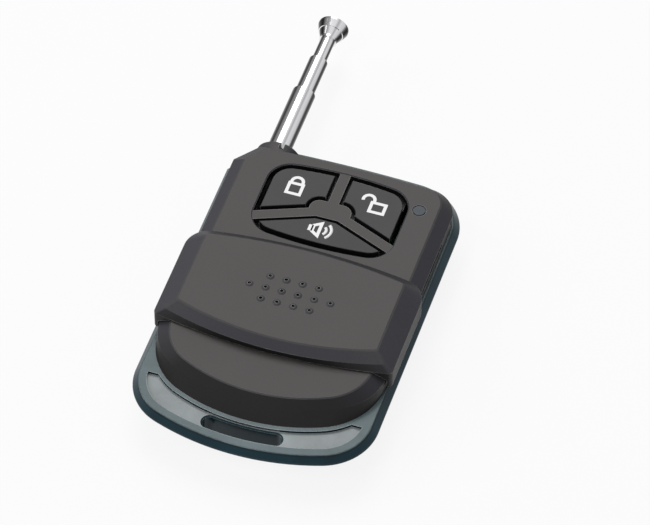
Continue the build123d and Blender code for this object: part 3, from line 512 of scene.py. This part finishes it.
def finish_for(node: str) -> Finish:
    """Finish of a CAD node by its name.

    Args:
        node: Name of the node.

    Returns:
        The finish that the real piece has.
    """
    if node in NODE_FINISHES:
        return NODE_FINISHES[node]
    return TIN if node.endswith("_plate") else MOULD


@dataclass
class Wardrobe:
    """Materials that are built once and shared."""

    made: dict[str, bpy.types.Material] = field(default_factory=dict)

    def of(self, finish: Finish) -> bpy.types.Material:
        """The material of a finish.

        Args:
            finish: The finish.

        Returns:
            Its material, built at the first call.
        """
        if finish.name not in self.made:
            self.made[finish.name] = finish.build()
        return self.made[finish.name]

    def dress(self, thing: bpy.types.Object, finish: Finish) -> bpy.types.Object:
        """Give an object one finish.

        Args:
            thing: The object.
            finish: Its finish.

        Returns:
            The same object.
        """
        thing.data.materials.clear()
        thing.data.materials.append(self.of(finish))
        return thing


@dataclass
class KeyPrint:
    """A flat white pictogram pad-printed on a key.

    Attributes:
        name: Name of the piece.
        body: Body of the key that it rides on.
        level: Height of the key's top in millimetres.
        stroke: Width of its lines in millimetres.
        thickness: Height of the ink in millimetres.
    """

    name: str
    body: str
    level: float
    stroke: float = 0.52
    thickness: float = 0.03

    def band(self, points: list[Point], closed: bool) -> tuple[list[Vector], list[Vector]]:
        """Outline of a line of even width along points.

        Args:
            points: The line's points in the key's plane.
            closed: Whether the line comes back to its start.

        Returns:
            The left and the right side's points.
        """
        count = len(points)
        left, right = [], []
        for i, point in enumerate(points):
            here = Vector(point)
            before = Vector(points[(i - 1) % count]) if closed or i else None
            after = Vector(points[(i + 1) % count]) if closed or i < count - 1 else None
            runs = [(here - before).normalized()] if before else []
            runs += [(after - here).normalized()] if after else []
            mean = sum(runs, Vector((0.0, 0.0))).normalized()
            side = Vector((-mean.y, mean.x))
            reach = self.stroke / 2 / max(LEAST_MITRE, side.dot(Vector((-runs[0].y, runs[0].x))))
            left.append(here + side * reach)
            right.append(here - side * reach)
        return left, right

    def add_line(self, mesh: bmesh.types.BMesh, points: list[Point], closed: bool = False) -> None:
        """Add a line of even width as a thin closed slab.

        Args:
            mesh: The mesh that is being built.
            points: The line's points in millimetres.
            closed: Whether the line comes back to its start.
        """
        left, right = self.band(points, closed)
        low, high = self.level * MM, (self.level + self.thickness) * MM
        rings = [
            [mesh.verts.new((p.x * MM, p.y * MM, z)) for p, z in ((a, low), (b, low), (b, high), (a, high))]
            for a, b in zip(left, right)
        ]
        pairs = list(zip(rings, rings[1:]))
        if closed:
            pairs.append((rings[-1], rings[0]))
        for near, far in pairs:
            for i in range(4):
                j = (i + 1) % 4
                mesh.faces.new((near[i], near[j], far[j], far[i]))
        if not closed:
            mesh.faces.new(rings[0])
            mesh.faces.new(list(reversed(rings[-1])))

    def add_patch(self, mesh: bmesh.types.BMesh, points: list[Point]) -> None:
        """Add a filled outline as a thin closed slab.

        Args:
            mesh: The mesh that is being built.
            points: The outline's corners in millimetres.
        """
        levels = (self.level * MM, (self.level + self.thickness) * MM)
        low, high = ([mesh.verts.new((x * MM, y * MM, z)) for x, y in points] for z in levels)
        mesh.faces.new(list(reversed(low)))
        mesh.faces.new(high)
        for i in range(len(points)):
            j = (i + 1) % len(points)
            mesh.faces.new((low[i], low[j], high[j], high[i]))

    def finish_mesh(self, mesh: bmesh.types.BMesh, wardrobe: Wardrobe) -> bpy.types.Object:
        """Turn the built mesh into a dressed piece on its key.

        Args:
            mesh: The mesh.
            wardrobe: Where the material comes from.

        Returns:
            The piece.
        """
        bmesh.ops.recalc_face_normals(mesh, faces=mesh.faces)
        data = bpy.data.meshes.new(self.name)
        mesh.to_mesh(data)
        mesh.free()
        piece = bpy.data.objects.new(self.name, data)
        bpy.context.scene.collection.objects.link(piece)
        wardrobe.dress(piece, PRINT)
        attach(piece, self.body)
        return piece


def arc(centre: Point, radius: float, start: float, end: float, steps: int = 16) -> list[Point]:
    """Points of a circular arc.

    Args:
        centre: Its centre.
        radius: Its radius.
        start: First angle in degrees.
        end: Last angle in degrees.
        steps: Number of equal steps.

    Returns:
        The points, in order.
    """
    turn = [math.radians(start + (end - start) * i / steps) for i in range(steps + 1)]
    return [(centre[0] + radius * math.cos(t), centre[1] + radius * math.sin(t)) for t in turn]


@dataclass
class Padlock(KeyPrint):
    """A padlock, shut or with its shackle swung open.

    Attributes:
        centre: Middle of the padlock's body.
        width: Outside width of the body.
        height: Outside height of the body.
        shackle: Middle radius of the shackle's bow.
        leg: Length of the shackle's straight leg.
        swung: Whether the shackle is open to the left.
        turn: How far an open shackle's bow goes round, in degrees.
    """

    centre: Point = (0.0, 0.0)
    width: float = 2.7
    height: float = 2.3
    shackle: float = 0.92
    leg: float = 0.4
    swung: bool = False
    turn: float = 200.0

    def build(self, wardrobe: Wardrobe) -> bpy.types.Object:
        """Build the print.

        Args:
            wardrobe: Where the material comes from.

        Returns:
            The piece, riding on its key.
        """
        mesh = bmesh.new()
        x, y = self.centre
        half_x = (self.width - self.stroke) / 2
        half_y = (self.height - self.stroke) / 2
        shares = ((-1, -1), (1, -1), (1, 1), (-1, 1))
        corners = [(x + across * half_x, y + along * half_y) for across, along in shares]
        self.add_line(mesh, corners, closed=True)
        top = y + half_y
        foot = top + self.stroke / 2
        if self.swung:
            hinge = x - half_x + self.stroke / 2
            bow = arc((hinge - self.shackle, top + self.leg), self.shackle, 0, self.turn)
            self.add_line(mesh, [(hinge, foot), *bow])
        else:
            bow = arc((x, top + self.leg), self.shackle, 0, 180)
            self.add_line(mesh, [(x + self.shackle, foot), *bow, (x - self.shackle, foot)])
        return self.finish_mesh(mesh, wardrobe)


class RuleTree:
    """A Geometry Nodes tree with named inputs, made into a plain mesh piece."""

    def __init__(self, name: str) -> None:
        """Make an empty tree with a geometry output.

        Args:
            name: Name of the tree and of the piece.
        """
        self.name = name
        self.tree = bpy.data.node_groups.new(name, "GeometryNodeTree")
        self.tree.interface.new_socket("Geometry", in_out="OUTPUT", socket_type="NodeSocketGeometry")
        self.values: dict[str, Any] = {}

    def size(self, name: str, kind: str, value: Any) -> None:
        """Add a named input.

        Args:
            name: Name of the input.
            kind: Float, Int or Vector.
            value: Its value.
        """
        socket = self.tree.interface.new_socket(name, in_out="INPUT", socket_type=f"NodeSocket{kind}")
        self.values[socket.identifier] = value

    def start(self) -> bpy.types.Node:
        """The node that holds the named inputs."""
        return self.tree.nodes.new("NodeGroupInput")

    def add(self, kind: str, settings: dict[str, Any] | None = None, **inputs: Any) -> bpy.types.Node:
        """Add one node.

        Args:
            kind: The node's type name.
            settings: Attributes of the node.
            **inputs: Values or sockets for its inputs, by name with blanks as underscores.

        Returns:
            The new node.
        """
        node = self.tree.nodes.new(kind)
        for key, value in (settings or {}).items():
            setattr(node, key, value)
        for key, value in inputs.items():
            slot = node.inputs[key.replace("_", " ")]
            if isinstance(value, Socket):
                self.tree.links.new(value, slot)
            else:
                slot.default_value = value
        return node

    def maths(self, operation: str, *values: Any) -> Socket:
        """Join numbers and sockets by one sum.

        Args:
            operation: Name of the sum.
            *values: Its terms, each a number or a socket.

        Returns:
            The result's socket.
        """
        node = self.add("ShaderNodeMath", {"operation": operation})
        for slot, value in zip(node.inputs, values):
            if isinstance(value, Socket):
                self.tree.links.new(value, slot)
            else:
                slot.default_value = value
        return node.outputs[0]

    def piece(self, result: Socket, body: str, wardrobe: Wardrobe, finish: Finish) -> bpy.types.Object:
        """Run the tree and keep its result as a plain mesh on a body.

        Args:
            result: Socket of the built geometry.
            body: Body that the piece rides on.
            wardrobe: Where the material comes from.
            finish: Its finish.

        Returns:
            The piece.
        """
        real = self.add("GeometryNodeRealizeInstances", Geometry=result)
        dressed = self.add("GeometryNodeSetMaterial", Geometry=real.outputs[0], Material=wardrobe.of(finish))
        end = self.tree.nodes.new("NodeGroupOutput")
        self.tree.links.new(dressed.outputs[0], end.inputs[0])
        holder = bpy.data.objects.new(f"{self.name}_rule", bpy.data.meshes.new(f"{self.name}_rule"))
        bpy.context.scene.collection.objects.link(holder)
        modifier = holder.modifiers.new("rule", "NODES")
        modifier.node_group = self.tree
        for identifier, value in self.values.items():
            modifier[identifier] = value
        bpy.context.view_layer.update()
        seen = holder.evaluated_get(bpy.context.evaluated_depsgraph_get())
        data = bpy.data.meshes.new_from_object(seen)
        data.name = self.name
        holder.modifiers.clear()
        bpy.data.objects.remove(holder)
        piece = bpy.data.objects.new(self.name, data)
        bpy.context.scene.collection.objects.link(piece)
        wardrobe.dress(piece, finish)
        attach(piece, body)
        return piece


@dataclass
class SoundWaves:
    """Arcs about a loudspeaker's mouth, each a step wider than the last.

    Attributes:
        body: Body of the key that they ride on.
        level: Height of the key's top in millimetres.
        centre: Centre of the arcs in millimetres.
        count: Number of arcs.
        first: Radius of the first arc in millimetres.
        step: Distance from one arc to the next in millimetres.
        spread: Half angle of an arc in degrees.
        stroke: Width of the print's lines in millimetres.
        thickness: Height of the ink in millimetres.
        points: Points of an arc.
    """

    body: str
    level: float
    centre: Point
    count: int = 2
    first: float = 0.95
    step: float = 0.8
    spread: float = 50.0
    stroke: float = 0.48
    thickness: float = 0.03
    points: int = 24

    def build(self, wardrobe: Wardrobe) -> bpy.types.Object:
        """Build the waves.

        Args:
            wardrobe: Where the material comes from.

        Returns:
            The piece, riding on its key.
        """
        rule = RuleTree("alert_waves")
        rule.size("Count", "Int", self.count)
        rule.size("First Radius", "Float", self.first * MM)
        rule.size("Step", "Float", self.step * MM)
        rule.size("Half Angle", "Float", math.radians(self.spread))
        rule.size("Stroke", "Float", self.stroke * MM)
        rule.size("Thickness", "Float", self.thickness * MM)
        rule.size("Centre", "Vector", (self.centre[0] * MM, self.centre[1] * MM, self.level * MM))
        sizes = rule.start().outputs
        points = rule.add("GeometryNodePoints", Count=sizes["Count"])
        index = rule.add("GeometryNodeInputIndex")
        scale = rule.maths("MULTIPLY_ADD", index.outputs[0], sizes["Step"], sizes["First Radius"])
        low = rule.maths("MULTIPLY", sizes["Half Angle"], -1.0)
        sweep = rule.maths("MULTIPLY", sizes["Half Angle"], 2.0)
        arc_line = rule.add(
            "GeometryNodeCurveArc", Resolution=self.points, Radius=1.0, Start_Angle=low, Sweep_Angle=sweep
        )
        arcs = rule.add(
            "GeometryNodeInstanceOnPoints", Points=points.outputs[0], Instance=arc_line.outputs["Curve"],
            Scale=scale,
        )
        lines = rule.add("GeometryNodeRealizeInstances", Geometry=arcs.outputs[0])
        upright = rule.add("GeometryNodeSetCurveNormal", {"mode": "Z_UP"}, Curve=lines.outputs[0])
        profile = rule.add(
            "GeometryNodeCurvePrimitiveQuadrilateral", Width=sizes["Stroke"], Height=sizes["Thickness"]
        )
        bands = rule.add(
            "GeometryNodeCurveToMesh", Curve=upright.outputs[0], Profile_Curve=profile.outputs[0],
            Fill_Caps=True,
        )
        placed = rule.add("GeometryNodeTransform", Geometry=bands.outputs[0], Translation=sizes["Centre"])
        return rule.piece(placed.outputs[0], self.body, wardrobe, PRINT)


@dataclass
class SolderRow:
    """Solder beads where a part's legs meet the board, in two even rows.

    Attributes:
        name: Name of the piece.
        low: Least corner of the part, in metres.
        high: Greatest corner of the part, in metres.
        count: Beads in each row.
        pitch: Distance from one bead to the next in millimetres.
        radius: Radius of a bead in millimetres.
        flattening: How a bead is squeezed along X, Y and Z.
        roundness: How often a bead's faces are divided.
    """

    name: str
    low: Vector
    high: Vector
    count: int
    pitch: float
    radius: float = 0.42
    flattening: tuple[float, float, float] = (1.0, 0.7, 0.45)
    roundness: int = 3

    def build(self, wardrobe: Wardrobe) -> bpy.types.Object:
        """Build both rows.

        Args:
            wardrobe: Where the material comes from.

        Returns:
            The piece, riding on the case.
        """
        rule = RuleTree(self.name)
        middle = (self.low + self.high) / 2
        first = middle.y - (self.count - 1) / 2 * self.pitch * MM
        rule.size("Count", "Int", self.count)
        rule.size("Pitch", "Vector", (0.0, self.pitch * MM, 0.0))
        rule.size("Left Start", "Vector", (self.low.x, first, self.low.z))
        rule.size("Right Start", "Vector", (self.high.x, first, self.low.z))
        rule.size("Bead Radius", "Float", self.radius * MM)
        sizes = rule.start().outputs
        bead = rule.add("GeometryNodeMeshIcoSphere", Radius=sizes["Bead Radius"], Subdivisions=self.roundness)
        flat = rule.add("GeometryNodeTransform", Geometry=bead.outputs["Mesh"], Scale=self.flattening)
        both = rule.add("GeometryNodeJoinGeometry")
        for side in ("Left Start", "Right Start"):
            line = rule.add(
                "GeometryNodeMeshLine", Count=sizes["Count"], Start_Location=sizes[side],
                Offset=sizes["Pitch"],
            )
            row = rule.add("GeometryNodeInstanceOnPoints", Points=line.outputs[0], Instance=flat.outputs[0])
            rule.tree.links.new(row.outputs[0], both.inputs[0])
        return rule.piece(both.outputs[0], "case", wardrobe, SOLDER)


@dataclass
class Horn(KeyPrint):
    """A loudspeaker: a filled box and the outline of its cone.

    Attributes:
        centre: Middle of the cone's mouth.
        mouth: Half height of the cone's mouth.
        throat: Half height of the box.
        box: Length of the box.
        length: Length of box and cone together.
    """

    centre: Point = (0.0, 0.0)
    mouth: float = 1.3
    throat: float = 0.6
    box: float = 0.75
    length: float = 1.85

    def build(self, wardrobe: Wardrobe) -> bpy.types.Object:
        """Build the print.

        Args:
            wardrobe: Where the material comes from.

        Returns:
            The piece, riding on its key.
        """
        mesh = bmesh.new()
        x, y = self.centre
        back = x - self.length
        waist = back + self.box
        low, high = y - self.throat, y + self.throat
        self.add_patch(mesh, [(back, low), (waist, low), (waist, high), (back, high)])
        cone = [(waist, low), (x, y - self.mouth), (x, y + self.mouth), (waist, high)]
        self.add_line(mesh, cone, closed=True)
        return self.finish_mesh(mesh, wardrobe)


def heading(azimuth: float, elevation: float) -> Vector:
    """Unit vector from the fob towards a place round it.

    Args:
        azimuth: The place's azimuth in degrees, zero being in front.
        elevation: Its height above the horizon in degrees.

    Returns:
        The vector.
    """
    turn, rise = math.radians(azimuth), math.radians(elevation)
    return Vector((math.sin(turn) * math.cos(rise), -math.cos(turn) * math.cos(rise), math.sin(rise)))


def place_aimed(thing: bpy.types.Object, spot: Vector, way: Vector) -> None:
    """Put a lamp or a camera in the scene.

    Args:
        thing: The lamp or camera.
        spot: Where it stands, in metres.
        way: Unit vector from what it looks at towards it.
    """
    bpy.context.scene.collection.objects.link(thing)
    thing.location = spot
    thing.rotation_mode = "QUATERNION"
    thing.rotation_quaternion = (-way).to_track_quat("-Z", "Y")


@dataclass(frozen=True)
class Lamp:
    """A soft square lamp that is aimed at the fob.

    Attributes:
        name: Name of the lamp.
        azimuth: Direction that it stands in, in degrees.
        elevation: Its height above the horizon in degrees.
        size: Side of its square in metres.
        watts: Its power.
        reach: Its distance in metres.
    """

    name: str
    azimuth: float
    elevation: float
    size: float
    watts: float
    reach: float = 0.9

    def build(self) -> None:
        """Add the lamp to the scene."""
        data = bpy.data.lights.new(self.name, "AREA")
        data.size = self.size
        data.energy = self.watts
        way = heading(self.azimuth, self.elevation)
        place_aimed(bpy.data.objects.new(self.name, data), way * self.reach, way)


LAMPS = (
    Lamp("key_lamp", 200.0, 58.0, 0.6, 4.2),
    Lamp("side_lamp", 275.0, 35.0, 0.35, 1.5),
    Lamp("lip_lamp", 338.0, 58.0, 0.2, 1.2),
)


@dataclass
class Studio:
    """Floor, lamps, world and camera.

    Attributes:
        azimuth: Camera's azimuth in degrees.
        elevation: Camera's height above the horizon in degrees.
        distance: Camera's distance from its target in millimetres.
        target: What the camera looks at, in millimetres.
        focal_share: Focal length as a share of the picture's width.
        sensor: Width of the sensor in millimetres.
        near: Nearest distance that the camera sees, in metres.
        far: Farthest distance that it sees, in metres.
    """

    azimuth: float = 18.376
    elevation: float = 50.336
    distance: float = 700.0
    target: tuple[float, float, float] = (1.786, 8.489, 8.0)
    focal_share: float = 4503.1 / PHOTO_WIDTH
    sensor: float = 36.0
    near: float = 0.01
    far: float = 20.0

    def camera(self) -> None:
        """Make the camera at the photograph's viewpoint."""
        data = bpy.data.cameras.new("camera")
        data.sensor_width = self.sensor
        data.lens = self.focal_share * self.sensor
        data.clip_start, data.clip_end = self.near, self.far
        camera = bpy.data.objects.new("camera", data)
        way = heading(self.azimuth, self.elevation)
        place_aimed(camera, (Vector(self.target) + way * self.distance) * MM, way)
        bpy.context.scene.camera = camera

    def shown_white(self, graph: NodeGraph) -> Socket:
        """Mark the rays that see the background as white: from the camera, off gloss and through glass.

        Args:
            graph: Graph of the floor's material or of the world.

        Returns:
            Socket that is one for those rays and zero for the rest.
        """
        path = graph.add("ShaderNodeLightPath").outputs
        seen = graph.maths("MAXIMUM", path["Is Camera Ray"], path["Is Glossy Ray"])
        return graph.maths("MAXIMUM", seen, path["Is Transmission Ray"])

    def world(self) -> None:
        """White backdrop for what sees it, and a plain soft level for the light."""
        world = bpy.data.worlds.new("studio")
        bpy.context.scene.world = world
        graph = NodeGraph(world)
        level = graph.add("ShaderNodeMapRange")
        level.inputs["To Min"].default_value = AMBIENT_LEVEL
        level.inputs["To Max"].default_value = WHITE_LEVEL
        graph.join(self.shown_white(graph), level.inputs["Value"])
        light = graph.add("ShaderNodeBackground")
        graph.join(level.outputs["Result"], light.inputs["Strength"])
        out = graph.add("ShaderNodeOutputWorld")
        graph.join(light.outputs[0], out.inputs["Surface"])

    def floor_white(self) -> bpy.types.Material:
        """Build the floor's finish.

        Returns:
            A pale matt material that what sees the background sees nearly white, with the fob's shadow kept.
        """
        graph = NodeGraph(bpy.data.materials.new("floor_white"))
        matt = graph.add("ShaderNodeBsdfDiffuse")
        matt.inputs["Color"].default_value = (*grey(FLOOR_ALBEDO), 1.0)
        glow = graph.add("ShaderNodeEmission")
        glow.inputs["Strength"].default_value = WHITE_LEVEL
        mix = graph.add("ShaderNodeMixShader")
        graph.join(graph.maths("MULTIPLY", self.shown_white(graph), FLOOR_GLOW_SHARE), mix.inputs["Fac"])
        graph.join(matt.outputs[0], mix.inputs[1])
        graph.join(glow.outputs[0], mix.inputs[2])
        out = graph.add("ShaderNodeOutputMaterial")
        graph.join(mix.outputs[0], out.inputs["Surface"])
        return graph.owner

    def floor(self) -> None:
        """Add the pale floor that keeps the fob's shadow."""
        mesh = bmesh.new()
        bmesh.ops.create_grid(mesh, x_segments=2, y_segments=2, size=FLOOR_HALF)
        data = bpy.data.meshes.new("floor")
        mesh.to_mesh(data)
        mesh.free()
        floor = bpy.data.objects.new("floor", data)
        bpy.context.scene.collection.objects.link(floor)
        floor.location.z = -FLOOR_GAP * MM
        floor.data.materials.append(self.floor_white())

    def build(self) -> None:
        """Set up the whole studio."""
        bpy.context.scene.view_settings.view_transform = "Standard"
        self.world()
        self.floor()
        for lamp in LAMPS:
            lamp.build()
        self.camera()


def box_of(thing: bpy.types.Object) -> tuple[Vector, Vector]:
    """Least and greatest corner of an object.

    Args:
        thing: The object.

    Returns:
        Both corners, in metres.
    """
    corners = [thing.matrix_world @ Vector(corner) for corner in thing.bound_box]
    low = Vector([min(corner[i] for corner in corners) for i in range(3)])
    high = Vector([max(corner[i] for corner in corners) for i in range(3)])
    return low, high


def main() -> None:
    """Dress the frame, add the prints and set the studio."""
    logging.basicConfig(level=logging.INFO)
    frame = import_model()
    wardrobe = Wardrobe()
    for name, node in frame["nodes"].items():
        wardrobe.dress(node, finish_for(name))
        LOG.info("dressed %s", name)
    level = box_of(frame["nodes"]["lock_key"])[1].z / MM
    prints: list[KeyPrint] = [
        Padlock("lock_print", "lock", level, centre=(-6.67, 18.85), width=2.73, height=2.6),
        Padlock("unlock_print", "unlock", level, centre=(6.9, 19.05), width=2.8, height=2.4, swung=True),
        Horn("alert_print", "alert", level, centre=(-0.3, 12.1)),
    ]
    for item in prints:
        piece = item.build(wardrobe)
        LOG.info("printed %s", piece.name)
    SoundWaves("alert", level, centre=(-0.2, 12.1)).build(wardrobe)
    chip_low, chip_high = box_of(frame["nodes"]["encoder_chip"])
    SolderRow("chip_solder", chip_low, chip_high, CHIP_LEGS, CHIP_LEG_PITCH).build(wardrobe)
    Studio().build()


if __name__ == "__main__":
    main()
